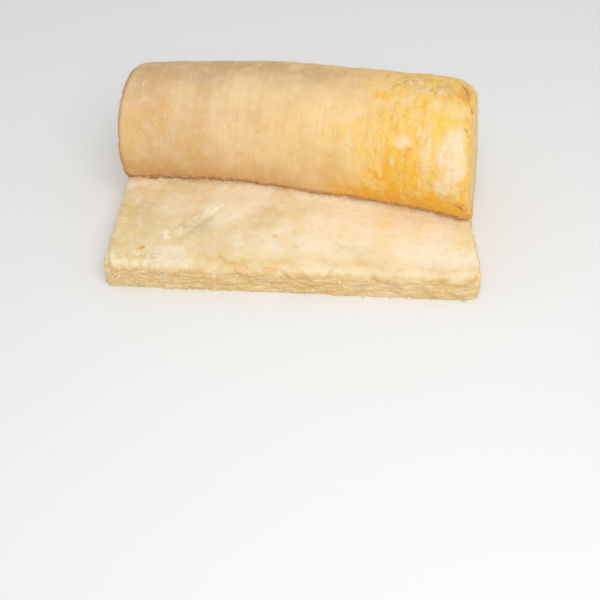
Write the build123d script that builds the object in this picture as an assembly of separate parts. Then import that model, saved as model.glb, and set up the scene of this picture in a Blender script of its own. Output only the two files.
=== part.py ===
from build123d import *
import math
import os

# A partly unrolled roll of glass wool: one blanket, wound up at the back and laid out at the front.
# X runs along the cut front edge, +Y from the laid run towards the roll, +Z up, in millimetres.
# The origin is on the floor, under the middle of the roll, where the roll rests on its outer turn.

# The laid run
RUN_WIDTH = 1200.0          # along the cut front edge
RUN_LENGTH = 530.0          # from the origin to the cut front edge
RUN_THICKNESS = 104.0       # at the front edge and at the crease
RUN_CROWN = 6.0             # extra thickness between the two
FRONT_EDGE_ROUND = 26.0     # top of the cut front edge
LONG_EDGE_ROUND = 20.0      # top of the run's two long edges
RUN_SHIFT = -9.0            # along X, from the roll's middle to the middle of the cut front edge

# The roll
ROLL_WIDTH = 1216.0         # along its axis, from end to end at the floor
LEFT_RADIUS = 217.0         # outer turn at the left end
RIGHT_RADIUS = 246.0        # outer turn at the right end, which is wound more loosely
BORE_RADIUS = 28.0          # the hollow that the first turn leaves
TURNS = 4                   # turns of the blanket round the bore
SKEW = 7.6                  # degrees that the roll has turned, its right end nearer the front
BOW = 48.0                  # how far the roll's middle lies behind a line between its ends
END_LEAN = 6.0              # degrees that each end face leans inwards, so the roll is shorter at the top
SETTLING = 4.0              # depth of the flat that the roll's weight presses on the floor

# The ends of the roll, where the turns show
END_ROUND = 32.0            # the outer turn's edge at the top, less on its flanks and none on the floor
SEAM_LIP = 10.0             # sloped edge of a turn beside a seam
SEAM_SLIT = 4.0             # open width of a seam between its lips
SEAM_DEPTH = 24.0           # depth of a seam from the end face
BORE_LIP = 9.0              # how much wider the bore is at its sloped mouth
INNER_END = 12.0            # how far into the bore the innermost seam runs out

# Working values
ROLL_STEPS = 8              # steps along the roll, between its two rounded ends
END_STEPS = 3               # steps that each rounded end is built in
TOUCH = 24.0                # how far the laid run reaches into the roll behind the crease
SIDE_INSET = 8.0            # how far the laid run's sides turn in from the roll's end faces there
UNDERCUT = 2.0              # how far the laid run starts below the roll, before the floor trims both
SEAM_LEAD = 3.0             # degrees by which the outermost seam starts before the crease
CLEAR = 10.0                # how far a cutting tool stands out of the wool


class Section:
    """The roll's cross-section at a share of its width, from -1 at the left end to 1 at the right."""

    def __init__(self, share):
        self.share = share
        self.radius = (LEFT_RADIUS + RIGHT_RADIUS) / 2 + share * (RIGHT_RADIUS - LEFT_RADIUS) / 2
        self.pitch = (self.radius - BORE_RADIUS) / TURNS
        self.back_centre = self.radius - SETTLING
        self.front_centre = self.back_centre + self.pitch / 2
        self.front_radius = self.radius - self.pitch / 2

    def plane(self):
        """Local x towards the back, local y up and leaning to the roll's middle, the normal along the roll."""
        skew = math.radians(SKEW)
        lean = math.radians(END_LEAN) * self.share
        along = Vector(math.cos(skew), -math.sin(skew), 0)
        back = Vector(math.sin(skew), math.cos(skew), 0)
        origin = along * (self.share * ROLL_WIDTH / 2) - back * (BOW * self.share ** 2)
        normal = along * math.cos(lean) + Vector(0, 0, 1) * math.sin(lean)
        return Plane(origin=origin, x_dir=back, z_dir=normal)

    def outline(self, drop):
        """The back half circle of a two-centre spiral rises from the floor, and the front one comes down.

        The front one stops at the crease, and the wool below it goes down to the floor. A drop lowers the top
        and leaves the two lower ends, so the half circles shrink by half of it.
        """
        low = self.back_centre - self.radius
        high = self.back_centre + self.radius - drop
        middle = self.front_centre - drop / 2
        radius = self.front_radius - drop / 2
        reach = -math.sqrt(radius ** 2 - (middle - RUN_THICKNESS) ** 2)
        back = ThreePointArc((0, low), ((high - low) / 2, (high + low) / 2), (0, high))
        front = ThreePointArc((0, high), (-radius, middle), (reach, RUN_THICKNESS))
        return self.plane() * make_face([back, front, Polyline((reach, RUN_THICKNESS), (reach, low), (0, low))])

    def bore_centre(self, out):
        """The middle of the bore, or a point outside the wool beyond it, at an end of the roll."""
        return self.plane().from_local_coords((0, self.back_centre, self.share * out))

    def crease_angle(self):
        """Degrees from straight up, down the front, to where the roll meets the top of the laid run."""
        drop = (self.front_centre - RUN_THICKNESS) / self.front_radius
        return 180 - math.degrees(math.acos(drop))

    def crease_reach(self):
        """How far in front of the roll's lowest line the crease lies."""
        return self.front_radius * math.sin(math.radians(self.crease_angle()))

    def crease_point(self, height, back, inset):
        """A point of the wool under or over the crease, or one behind it and in from the roll's end."""
        place = self.plane().from_local_coords((back - self.crease_reach(), height, -self.share * inset))
        return (place.X, place.Y)

    def turned(self, profile, centre, start, sweep):
        """A tool turned about a line along the roll, from a profile of radius and depth from the end face."""
        tool = Rot(0, 0, start) * revolve(Plane.XZ * profile, axis=Axis.Z, revolution_arc=sweep)
        if self.share > 0:
            tool = mirror(tool, about=Plane.XY)
        return self.plane() * (Pos(0, centre, 0) * tool)

    def seams(self):
        """The cuts that part one turn from the next: each half turn has its own centre, as the outline has."""
        cuts = []
        for turn in range(TURNS):
            start = self.crease_angle() - SEAM_LEAD if turn == 0 else 0
            drop = INNER_END / 2 if turn == TURNS - 1 else 0
            front = seam_profile(self.front_radius - turn * self.pitch - drop)
            cuts.append(self.turned(front, self.front_centre + drop, 90 + start, 180 - start))
            if turn > 0:
                back = seam_profile(self.radius - turn * self.pitch)
                cuts.append(self.turned(back, self.back_centre, -90, 180))
        return cuts

    def bore_mouth(self):
        """The cut that widens the mouth of the bore."""
        wide = BORE_RADIUS + BORE_LIP
        slope = Polyline((wide, -CLEAR), (wide, 0), (0, wide), (0, -CLEAR), close=True)
        return self.turned(make_face(slope), self.back_centre, 0, 360)


def seam_profile(radius):
    """A narrow slit between two sloped lips, as radius and depth."""
    half = SEAM_SLIT / 2
    lip = half + SEAM_LIP
    return make_face(Polyline(
        (radius - lip, -CLEAR), (radius - lip, 0), (radius - half, SEAM_LIP), (radius, SEAM_DEPTH),
        (radius + half, SEAM_LIP), (radius + lip, 0), (radius + lip, -CLEAR), close=True))


def along_roll(count):
    """Sections from the left end to the right end, in a count of even steps."""
    return [Section(2 * i / count - 1) for i in range(count + 1)]


def roll_body():
    """The wound part: sections along its bowed axis, between two ends that round over at the top."""
    outlines = []
    for i in range(END_STEPS):
        angle = math.pi / 2 * i / END_STEPS
        depth = END_ROUND * (1 - math.cos(angle))
        drop = END_ROUND * (1 - math.sin(angle))
        outlines.append((2 * depth / ROLL_WIDTH, drop))
    reach = 1 - 2 * END_ROUND / ROLL_WIDTH
    middle = [Section(section.share * reach).outline(0) for section in along_roll(ROLL_STEPS)]
    left = [Section(share - 1).outline(drop) for share, drop in outlines]
    right = [Section(1 - share).outline(drop) for share, drop in reversed(outlines)]
    return loft(left + middle + right, ruled=True)


def bore_body(left, middle, right):
    """The hollow along the roll, swept on the arc that the roll's axis bows to."""
    path = ThreePointArc(left.bore_centre(CLEAR), middle.bore_centre(0), right.bore_centre(CLEAR))
    return sweep(Plane(origin=path @ 0, z_dir=path % 0) * Circle(BORE_RADIUS), path=path)


def run_outline(height, left, middle, right):
    """The laid run as seen from above, at a height: its sides lean with the roll's end faces at the crease."""
    ahead = [section.crease_point(height, 0, 0) for section in (left, right)]
    behind = [section.crease_point(height, TOUCH, SIDE_INSET) for section in (right, middle, left)]
    corners = [(RUN_SHIFT + side * RUN_WIDTH / 2, -RUN_LENGTH) for side in (-1, 1)]
    return Pos(0, 0, height) * make_face(Polyline(ahead[0], *corners, ahead[1], *behind, close=True))


def laid_run(left, middle, right):
    """The flat part: a side profile with a crowned top, trimmed to its outline."""
    front = -RUN_LENGTH
    low = -SETTLING - UNDERCUT
    crease = -middle.crease_reach()
    crown = ThreePointArc((front, RUN_THICKNESS), ((front + crease) / 2, RUN_THICKNESS + RUN_CROWN),
                          (crease, RUN_THICKNESS))
    inside = crown @ 1 + (crown % 1) * (BOW + TOUCH)
    side = make_face([
        Line((front, low), (front, RUN_THICKNESS)),
        crown,
        Polyline(crown @ 1, inside, (inside.X, low), (front, low)),
    ])
    side = fillet(side.vertices().sort_by_distance((front, RUN_THICKNESS))[0], FRONT_EDGE_ROUND)
    slab = extrude(Plane.YZ * side, amount=RUN_WIDTH, both=True)
    heights = (low, RUN_THICKNESS + RUN_CROWN + CLEAR)
    run = slab & loft([run_outline(height, left, middle, right) for height in heights], ruled=True)
    return fillet([edge for edge in run.edges() if is_long_edge(edge)], LONG_EDGE_ROUND)


def is_long_edge(edge):
    """Top edges of the run's two long sides, from the cut front to the crease."""
    middle = edge @ 0.5
    return abs(middle.X) > 0.45 * RUN_WIDTH and middle.Z > 0 and abs((edge @ 1).Y - (edge @ 0).Y) > TOUCH


def blanket():
    """The whole blanket: the roll and the laid run grown together, then the bore and the seams cut."""
    left, middle, right = along_roll(2)
    wool = roll_body() + laid_run(left, middle, right) - bore_body(left, middle, right)
    for end in (left, right):
        for cut in end.seams() + [end.bore_mouth()]:
            wool = wool - cut
    return split(wool, bisect_by=Plane.XY, keep=Keep.TOP)


if __name__ == "__main__":
    os.makedirs("parts", exist_ok=True)
    export_step(blanket(), "parts/insulation_blanket.step")
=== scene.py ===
import itertools
import math

import bmesh
import bpy
import numpy as np
from bpy.props import FloatProperty, FloatVectorProperty, IntProperty, PointerProperty
from mathutils import Matrix, Vector


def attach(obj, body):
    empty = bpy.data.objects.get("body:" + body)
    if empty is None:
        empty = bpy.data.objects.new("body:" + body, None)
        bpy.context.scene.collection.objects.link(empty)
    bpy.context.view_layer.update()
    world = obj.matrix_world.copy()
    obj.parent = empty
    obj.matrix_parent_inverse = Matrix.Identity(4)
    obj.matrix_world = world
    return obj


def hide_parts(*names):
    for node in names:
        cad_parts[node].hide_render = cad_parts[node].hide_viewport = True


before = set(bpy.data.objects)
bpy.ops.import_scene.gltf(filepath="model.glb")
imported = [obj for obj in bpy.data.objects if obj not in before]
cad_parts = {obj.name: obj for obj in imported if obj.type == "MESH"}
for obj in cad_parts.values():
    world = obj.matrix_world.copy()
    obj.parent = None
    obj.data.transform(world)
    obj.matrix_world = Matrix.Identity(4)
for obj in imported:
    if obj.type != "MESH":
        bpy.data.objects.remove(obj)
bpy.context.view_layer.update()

bl_info = {
    "name": "Glass wool roll",
    "version": (1, 0, 0),
    "blender": (4, 5, 0),
    "location": "3D View > Sidebar > Wool",
    "description": "A blanket of glass wool, wound into a roll at the back and laid out at the front",
    "category": "Object",
}

CAD_NODE = "insulation_blanket"

# Degrees round a section of the roll: from the floor up the back, over the top and down the front
FLOOR, SHOULDER, CREASE, UNDER = -90.0, 45.0, 228.0, 270.0

# The unrolled blanket, for coordinates that run across it, along it and through it, in metres
LAID_LENGTH = 0.53          # from its cut front edge to the roll's foot
TAIL_LENGTH = 0.14          # the part of that which lies behind the crease
LEVELS = 0.1                # from its lower face to its upper one
DEGREE = 0.004              # a degree round the roll, along its skin

# How far in from each side the close rows of a grid lie, in metres
SIDE_ROWS = np.array([0, 0.0015, 0.004, 0.0075, 0.012, 0.017, 0.0225, 0.0285, 0.035])
SIDE_REACH = 0.08           # how far in from a side, or back from the front edge, the rows give way
WELD_STEP = 1e-6            # points nearer than this become one
SHARP = math.radians(60)    # faces that meet at more than this meet in a sharp edge
LINE_REACH = 0.010          # how far from its line a crack or a fold fades out

# The large soft lamp, the camera and the even light, where the panel doesn't set them
LAMP_SIZE = 3.2
LAMP_PLACE = (0.8, -2.4, 3.4)
LAMP_AIM = (0.0, -0.1, 0.2)
SKY = (0.96, 0.98, 1.0, 1.0)
LENS, SENSOR = 54.0, 36.0                   # in millimetres
CAMERA_PLACE = (0.1522, -2.4515, 2.1747)
CAMERA_TURNS = (48.905, 3.925, -0.711)      # degrees down, to the left and tilted
FLOOR_GAP = 0.0008          # how far the floor lies below the wool


def length(name, default, description):
    """A size in metres that the panel shows."""
    return FloatProperty(name=name, description=description, default=default, min=0.0,
                         unit="LENGTH", precision=3)


def turn(name, default, description):
    """An angle that the panel shows in degrees."""
    return FloatProperty(name=name, description=description, default=math.radians(default),
                         unit="ROTATION")


def steps(name, default, description):
    """A number of turns, rows of a grid, strands or tufts."""
    return IntProperty(name=name, description=description, default=default, min=2)


def colour(name, default, description):
    """A colour as the shader takes it."""
    return FloatVectorProperty(name=name, description=description, default=default, min=0.0, max=1.0,
                               size=3, subtype="COLOR")


class RollSizes(bpy.types.PropertyGroup):
    """The wound part of the blanket."""
    width: length("Width", 1.216, "Of the blanket, across it")
    left_reach: length("Left reach", 0.582, "From the middle to the left end along the axis, at the floor")
    right_reach: length("Right reach", 0.610, "From the middle to the right end, likewise")
    left_radius: length("Left radius", 0.217, "Outer turn at the left end")
    right_radius: length("Right radius", 0.246, "Outer turn at the right end")
    bore_radius: length("Bore radius", 0.028, "The hollow that the first turn leaves")
    turns: steps("Turns", 4, "Turns of the blanket round the bore")
    skew: turn("Skew", 7.6, "How far the roll has turned, its right end nearer the front")
    bow: length("Bow", 0.048, "How far the middle lies behind a line between the ends")
    left_lean: turn("Left lean", 0.5, "How far the left end face leans inwards")
    right_lean: turn("Right lean", 7.0, "How far the right end face leans inwards")
    settling: length("Settling", 0.004, "How far the roll's weight presses it flat on the floor")
    left_round: length("Left rounding", 0.030, "The outer turn's edge at the top left")
    right_round: length("Right rounding", 0.072, "The outer turn's edge at the top right")
    round_depth: length("Rounding depth", 0.048, "The most that a rounded edge falls away")
    seam_depth: length("Seam depth", 0.026, "How deep a seam between two turns lies in an end face")
    seam_lip: length("Seam lip", 0.012, "How far a turn rounds over beside a seam")
    mouth: length("Mouth", 0.010, "How deep the bore's mouth rounds over")
    pillow: length("Pillow", 0.003, "How far each turn swells out of the end face")
    back_steps: steps("Back steps", 82, "Rows up the back")
    front_steps: steps("Front steps", 156, "Rows over the top and down the front")
    under_steps: steps("Under steps", 16, "Rows below the crease")
    across_steps: steps("Across steps", 280, "Rows along the roll")
    band_steps: steps("Band steps", 9, "Rows from one seam to the next")
    bore_steps: steps("Bore steps", 14, "Rows along the bore")


class RunSizes(bpy.types.PropertyGroup):
    """The part of the blanket that is laid out."""
    width: length("Width", 1.200, "Along the cut front edge")
    reach: length("Length", 0.530, "From the middle of the roll's foot to the cut front edge")
    thickness: length("Thickness", 0.104, "At the front edge and at the crease")
    crown: length("Crown", 0.006, "Extra thickness between the two")
    shift: FloatProperty(name="Shift", description="From the roll's middle to the run's, to the right",
                         default=-0.009, unit="LENGTH", precision=3)
    front_round: length("Front rounding", 0.026, "Top of the cut front edge")
    side_round: length("Side rounding", 0.020, "Top of the long edges")
    top_steps: steps("Top steps", 96, "Rows from the front edge to the crease")
    round_steps: steps("Rounding steps", 7, "Rows round the front edge")
    tail_steps: steps("Tail steps", 16, "Rows under the roll")
    face_steps: steps("Face steps", 26, "Rows up the cut front face")
    across_steps: steps("Across steps", 300, "Rows along the cut front edge")


class LooseWool(bpy.types.PropertyGroup):
    """The strands and tufts that stand out of the wool."""
    roll_strands: steps("Roll strands", 3300, "Strands on the roll")
    run_strands: steps("Run strands", 2700, "Strands on the laid run")
    roll_tufts: steps("Roll tufts", 230, "Tufts on the roll")
    run_tufts: steps("Run tufts", 380, "Tufts on the laid run")
    strand: length("Strand", 0.024, "The longest strand")
    thickness: length("Strand thickness", 0.0008, "Half the thickness of the thickest strand")
    tuft: length("Tuft", 0.0065, "Half the width of the widest tuft")


class WoolColours(bpy.types.PropertyGroup):
    """The blanket's colours: binder tans its faces, and torn or fresh wool is paler."""
    tan: colour("Tan skin", (0.73, 0.485, 0.250), "Outer face of the roll")
    # Amber is also painted shade: in the amber patches, in the crease, and beside the folds and the
    # cracks.
    amber: colour("Amber skin", (0.75, 0.42, 0.145), "Outer face of the roll, low down")
    # Painted shade: the dull skin darkens the top of the roll, where the light grazes it.
    dull: colour("Dull skin", (0.56, 0.37, 0.20), "Along the top of the roll")
    honey: colour("Honey skin", (0.90, 0.59, 0.235), "Outer face of the roll, towards its right end")
    orange: colour("Orange binder", (0.93, 0.46, 0.025), "Where the skin is torn and the binder shows")
    # Gold is also the painted light on the right end's rim and end face.
    gold: colour("Gold binder", (0.94, 0.60, 0.16), "Round the orange")
    mustard: colour("Mustard", (0.86, 0.62, 0.08), "Streaks and patches in the torn skin")
    # Cream is also the painted light of the lighter skin patches.
    cream: colour("Cream wool", (0.94, 0.69, 0.385), "Fresh wool in the torn patches")
    # Brown is the binder's own colour in its patches, veins, crumbs and specks; in the crease, the seams,
    # the bore and the left end's rim it is painted shade, and in the folds and the cracks partly painted
    # shade.
    brown: colour("Brown binder", (0.46, 0.20, 0.04), "In the crease, the seams and the folds")
    fleece: colour("Fleece", (0.82, 0.64, 0.36), "Top of the laid run, at the left")
    butter: colour("Butter", (0.935, 0.735, 0.42), "Top of the laid run, at the right")
    white: colour("White fluff", (0.97, 0.86, 0.65), "Palest clouds and tufts")
    straw: colour("Straw", (0.77, 0.505, 0.185), "Cut faces and end faces")
    olive: colour("Olive", (0.40, 0.29, 0.11), "Dull strands in the cut faces and at the crease")


class StageSettings(bpy.types.PropertyGroup):
    """The floor and the light."""
    floor: colour("Floor", (0.86, 0.855, 0.84), "The plain floor")
    floor_size: length("Floor size", 30.0, "Side of the floor")
    key_power: FloatProperty(name="Key light", description="Power of the large soft lamp overhead",
                             default=77.0, min=0.0, unit="POWER")
    fill: FloatProperty(name="Fill light", description="Strength of the even light all round",
                        default=0.67, min=0.0)


def smooth(low, high, value):
    """0 up to low, 1 from high on, and an even slope between them."""
    share = np.clip((value - low) / (high - low), 0, 1)
    return share * share * (3 - 2 * share)


def round_over(distance, radius):
    """How far a rounded edge falls away: its radius at the edge itself, nothing further in than that."""
    left = 1 - np.clip(distance / radius, 0, 1)
    return radius * (1 - np.sqrt(1 - left ** 2))


def swell(value, middle, reach):
    """1 at a middle value, fading to nothing on both sides of it."""
    return np.exp(-((value - middle) / reach) ** 2)


class Noise:
    """Smooth seeded noise over points: lumps from about -1 to 1, and layers of finer lumps or ridges."""

    def __init__(self, seed):
        draw = np.random.default_rng(seed)
        self.order = np.tile(draw.permutation(256), 2)
        slopes = draw.normal(size=(256, 3))
        self.slopes = slopes / np.linalg.norm(slopes, axis=1)[:, None]

    def lumps(self, places):
        cell = np.floor(places).astype(np.int64)
        inside = places - cell
        fade = inside ** 3 * (inside * (inside * 6 - 15) + 10)
        total = np.zeros(len(places))
        for corner in itertools.product((0, 1), repeat=3):
            x, y, z = ((cell + corner) & 255).T
            slope = self.slopes[self.order[self.order[self.order[x] + y] + z]]
            weight = np.prod(np.where(corner, fade, 1 - fade), axis=1)
            total += weight * np.einsum("ij,ij->i", slope, inside - corner)
        return total * 1.6

    def octaves(self, places, count, shift):
        """Lumps, each time half as high and about twice as fine, shifted so that they don't line up."""
        for octave in range(count):
            yield 0.5 ** octave, self.lumps(places * 2.03 ** octave + shift * octave)

    def layers(self, places, count):
        return sum(height * lumps for height, lumps in self.octaves(places, count, 17.3))

    def ridges(self, places, count):
        return sum(height * (1 - 3 * np.abs(lumps)) for height, lumps in self.octaves(places, count, 31.7))


class Section:
    """Cross-sections of the roll at shares of its width, from -1 at the left end to 1 at the right."""

    def __init__(self, sizes, share):
        self.sizes = sizes
        self.share = np.asarray(share, float)
        self.radius = (sizes.left_radius + sizes.right_radius) / 2 \
            + self.share * (sizes.right_radius - sizes.left_radius) / 2
        self.pitch = (self.radius - sizes.bore_radius) / sizes.turns
        self.centre = self.radius - sizes.settling

    def place(self, back, up):
        """The frame's coordinates of points that lie so far behind and above the foot of the section."""
        sizes = self.sizes
        along = np.array([math.cos(sizes.skew), -math.sin(sizes.skew), 0.0])
        behind = np.array([math.sin(sizes.skew), math.cos(sizes.skew), 0.0])
        left = self.share < 0
        lean = self.share * np.where(left, sizes.left_lean, sizes.right_lean)
        forward = self.share * np.where(left, sizes.left_reach, sizes.right_reach) - up * np.sin(lean)
        points = forward[..., None] * along + (back - sizes.bow * self.share ** 2)[..., None] * behind
        points[..., 2] = up * np.cos(lean)
        return points

    def circle(self, boundary, angle):
        """Radius and centre height of a turn's outer face: 0 is the skin, and the last one is the bore."""
        front = angle > 90
        bore = boundary >= self.sizes.turns
        size = np.where(bore, self.sizes.bore_radius,
                        np.where(front, self.radius - self.pitch / 2, self.radius) - boundary * self.pitch)
        middle = np.where(front & ~bore, self.centre + self.pitch / 2, self.centre)
        return size, middle

    def spot(self, boundary, angle, drop=0.0):
        """Coordinates in the section, behind and above its foot, on a turn's outer face."""
        size, middle = self.circle(boundary, angle)
        size = size - drop
        return size * np.cos(np.radians(angle)), middle + size * np.sin(np.radians(angle))

    def arc(self, band, angle):
        """How far a point of a turn lies along the blanket, inwards from the roll's foot."""
        past = np.pi * band * (2 * self.radius - self.pitch / 2 - (band - 1) * self.pitch)
        back = np.radians(np.clip(angle, FLOOR, 90) - FLOOR) * (self.radius - band * self.pitch)
        front = np.radians(np.clip(angle, 90, UNDER) - 90) * (self.radius - (band + 0.5) * self.pitch)
        return past + back + front

    def crease_reach(self, thickness):
        """How far in front of its foot the section meets the top of the laid run."""
        size, middle = self.circle(0, 180.0)
        return np.sqrt(size ** 2 - (middle - thickness) ** 2)


class Patchwork:
    """Grids of points that become one closed mesh, because edges that lie on each other are welded."""

    def __init__(self):
        self.points = []
        self.facts = []
        self.faces = []
        self.count = 0

    def add(self, points, turned=False, **facts):
        """A grid of points and what is known of them. Turned, its faces look the other way."""
        rows, columns = points.shape[:2]
        index = np.arange(rows * columns).reshape(rows, columns) + self.count
        corners = [index[:-1, :-1], index[1:, :-1], index[1:, 1:], index[:-1, 1:]]
        quads = np.stack(corners, axis=-1).reshape(-1, 4)
        self.faces.append(quads[:, ::-1] if turned else quads)
        self.points.append(points.reshape(-1, 3))
        self.facts.append({name: np.broadcast_to(value, (rows, columns)).reshape(-1).astype(float)
                           for name, value in facts.items()})
        self.count += rows * columns

    def welded(self):
        """The points, what is known of them, and the faces."""
        points = np.concatenate(self.points)
        keys = np.round(points / WELD_STEP).astype(np.int64)
        _, first, back = np.unique(keys, axis=0, return_index=True, return_inverse=True)
        quads = back.reshape(-1)[np.concatenate(self.faces)]
        facts = {name: np.concatenate([grid[name] for grid in self.facts])[first]
                 for name in self.facts[0]}
        faces = [[a for a, b in zip(quad, quad[1:] + quad[:1]) if a != b] for quad in quads.tolist()]
        return points[first], facts, [face for face in faces if len(face) > 2]


def point_normals(points, faces):
    """Unit normals at the points, from the faces round them."""
    mesh = bpy.data.meshes.new("trial")
    mesh.from_pydata(points.tolist(), [], faces)
    normals = np.array([vertex.normal for vertex in mesh.vertices])
    bpy.data.meshes.remove(mesh)
    return normals


def make_piece(name, points, faces, facts, material):
    """A smooth piece of wool that rides on the frame, with what is known of its points as attributes."""
    mesh = bpy.data.meshes.new(name)
    mesh.from_pydata(points.tolist(), [], faces)
    for fact, values in facts.items():
        attribute = mesh.attributes.new(fact, "FLOAT", "POINT")
        attribute.data.foreach_set("value", np.asarray(values, np.float32))
    mesh.polygons.foreach_set("use_smooth", np.ones(len(mesh.polygons), bool))
    mesh.set_sharp_from_angle(angle=SHARP)
    mesh.materials.append(material)
    piece = bpy.data.objects.new(name, mesh)
    bpy.context.scene.collection.objects.link(piece)
    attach(piece, "root")
    return piece


def side_rows(width, count):
    """How far rows lie from the left side and from the nearest one, closest together beside both."""
    middle = np.linspace(SIDE_ROWS[-1], width - SIDE_ROWS[-1], count - 2 * len(SIDE_ROWS) + 3)[1:-1]
    from_left = np.concatenate([SIDE_ROWS, middle, width - SIDE_ROWS[::-1]])
    return from_left, np.minimum(from_left, width - from_left)


def given_way(depth, seam):
    """Depths of the rows beside a seam that lies so deep in the side."""
    return depth + seam * np.clip(1 - depth / SIDE_REACH, 0, 1)


def seam_below_crease(sizes, angle):
    """How deep the outermost seam lies: nothing above the crease, where there is no turn outside it."""
    return sizes.seam_depth * smooth(CREASE - 8, CREASE + 12, angle)


def edge_drop(sizes, side, depth, angle):
    """How far the outer turn's edge has rounded over at a depth from the end, least near the floor."""
    share = 0.12 + 0.44 * (1 + np.sin(np.radians(angle)))
    fade = smooth(FLOOR, FLOOR + 30, angle) * (1 - smooth(CREASE, UNDER, angle))
    reach = np.where(side < 0, sizes.left_round, sizes.right_round)
    return round_over(depth / reach, 1.0) * np.minimum(reach, sizes.round_depth) * share * fade


def end_face(sizes, side, angles):
    """One end of the roll, from the skin's edge in to the bore: pillowed turns between deep seams."""
    rows = sizes.band_steps
    share = 0.5 - 0.5 * np.cos(np.pi * np.arange(rows) / rows)
    bands = np.arange(sizes.turns)
    part = np.append(np.tile(share, sizes.turns), 1.0)[None, :]
    band = np.append(np.repeat(bands, rows), sizes.turns - 1)[None, :]
    angle = angles[:, None]
    section = Section(sizes, np.full((len(angles), part.shape[1]), side))

    skin_seam = seam_below_crease(sizes, angle)
    drop = np.where(band == 0, edge_drop(sizes, side, skin_seam, angle), 0)
    outer = np.stack(section.spot(band, angle, drop), axis=-1)
    inner = np.stack(section.spot(band + 1, angle), axis=-1)
    width = np.linalg.norm(inner - outer, axis=-1)

    running_out = np.where(angle > 90, smooth(215, UNDER, angle), 0)
    last_seam = sizes.seam_depth + (sizes.mouth - sizes.seam_depth) * running_out
    outer_seam = np.where(band == 0, skin_seam, sizes.seam_depth)
    outer_seam = np.where(band == sizes.turns - 1, last_seam, outer_seam)
    inner_seam = np.where(band == sizes.turns - 2, last_seam, sizes.seam_depth)
    inner_seam = np.where(band == sizes.turns - 1, sizes.mouth, inner_seam)
    lip = sizes.seam_lip
    depth = np.maximum(outer_seam * round_over(part * width, lip),
                       inner_seam * round_over((1 - part) * width, lip))
    pillow = sizes.pillow * np.where(band == 0, smooth(FLOOR, FLOOR + 40, angle), 1)
    depth = depth / lip - pillow * np.sin(np.pi * part) ** 2 * width / section.pitch

    spot = outer + (inner - outer) * part[..., None]
    sunk = Section(sizes, side * (1 - 2 * depth / sizes.width))
    grid = sunk.place(spot[..., 0], spot[..., 1])
    wrap = 0.02 + smooth(FLOOR, FLOOR + 60, angle) * (1 - smooth(CREASE - 12, CREASE, angle))
    wrapped = (1 - smooth(0.1, 0.1 + 0.5 * wrap, part)) * np.minimum(1, 4 * wrap)
    facts = {
        "across": side * (sizes.width / 2 - depth),
        "along": LAID_LENGTH + section.arc(band, angle),
        "level": LEVELS * part,
        "skin": np.where(band == 0, wrapped, 0),
        "angle": angle,
        "seam": np.clip(depth / sizes.seam_depth, 0, 1),
    }
    return grid, facts


def roll_mesh(sizes):
    """The wound wool as one closed mesh: two spiral ends, skin, bore and the outer turn's hidden start."""
    angles = np.concatenate([
        np.linspace(FLOOR, SHOULDER, sizes.back_steps + 1)[:-1],
        np.linspace(SHOULDER, CREASE, sizes.front_steps + 1)[:-1],
        np.linspace(CREASE, UNDER, sizes.under_steps + 1),
    ])
    from_left, depth = side_rows(sizes.width, sizes.across_steps)
    side = np.where(from_left < sizes.width / 2, -1.0, 1.0)
    across = (from_left - sizes.width / 2)[None, :]
    left, left_facts = end_face(sizes, -1.0, angles)
    right, right_facts = end_face(sizes, 1.0, angles)
    work = Patchwork()
    work.add(left, turned=True, **left_facts)
    work.add(right, **right_facts)

    angle = angles[:, None]
    deep = given_way(depth, seam_below_crease(sizes, angle))
    section = Section(sizes, side * (1 - 2 * deep / sizes.width))
    skin = section.place(*section.spot(0, angle, edge_drop(sizes, side, deep, angle)))
    skin[:, 0], skin[:, -1] = left[:, 0], right[:, 0]
    along = LAID_LENGTH + section.arc(0, angle)
    work.add(skin, across=across, along=along, level=0, skin=1, angle=angle, seam=0)

    shares = np.linspace(-1, 1, sizes.bore_steps + 1) * (1 - 2 * sizes.mouth / sizes.width)
    section = Section(sizes, shares[None, :] + 0 * angle)
    bore = section.place(*section.spot(sizes.turns, angle))
    bore[:, 0], bore[:, -1] = left[:, -1], right[:, -1]
    bore[-1] = bore[0]
    # The bore's seam value paints shade into its hollow.
    work.add(bore, turned=True, across=shares[None, :] * sizes.width / 2, along=0.03 * np.radians(angle),
             level=LEVELS, skin=0, angle=angle, seam=0.6)

    rows = sizes.band_steps + 1
    part = np.linspace(0, 1, rows)[:, None]
    start = skin[:1] * (1 - part[..., None]) + skin[-1:] * part[..., None]
    start[:, 0], start[:, -1] = left[0, :rows], right[0, :rows]
    work.add(start, turned=True, across=across, along=LAID_LENGTH, level=LEVELS * part,
             skin=0, angle=FLOOR, seam=0)
    return work.welded()


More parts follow.
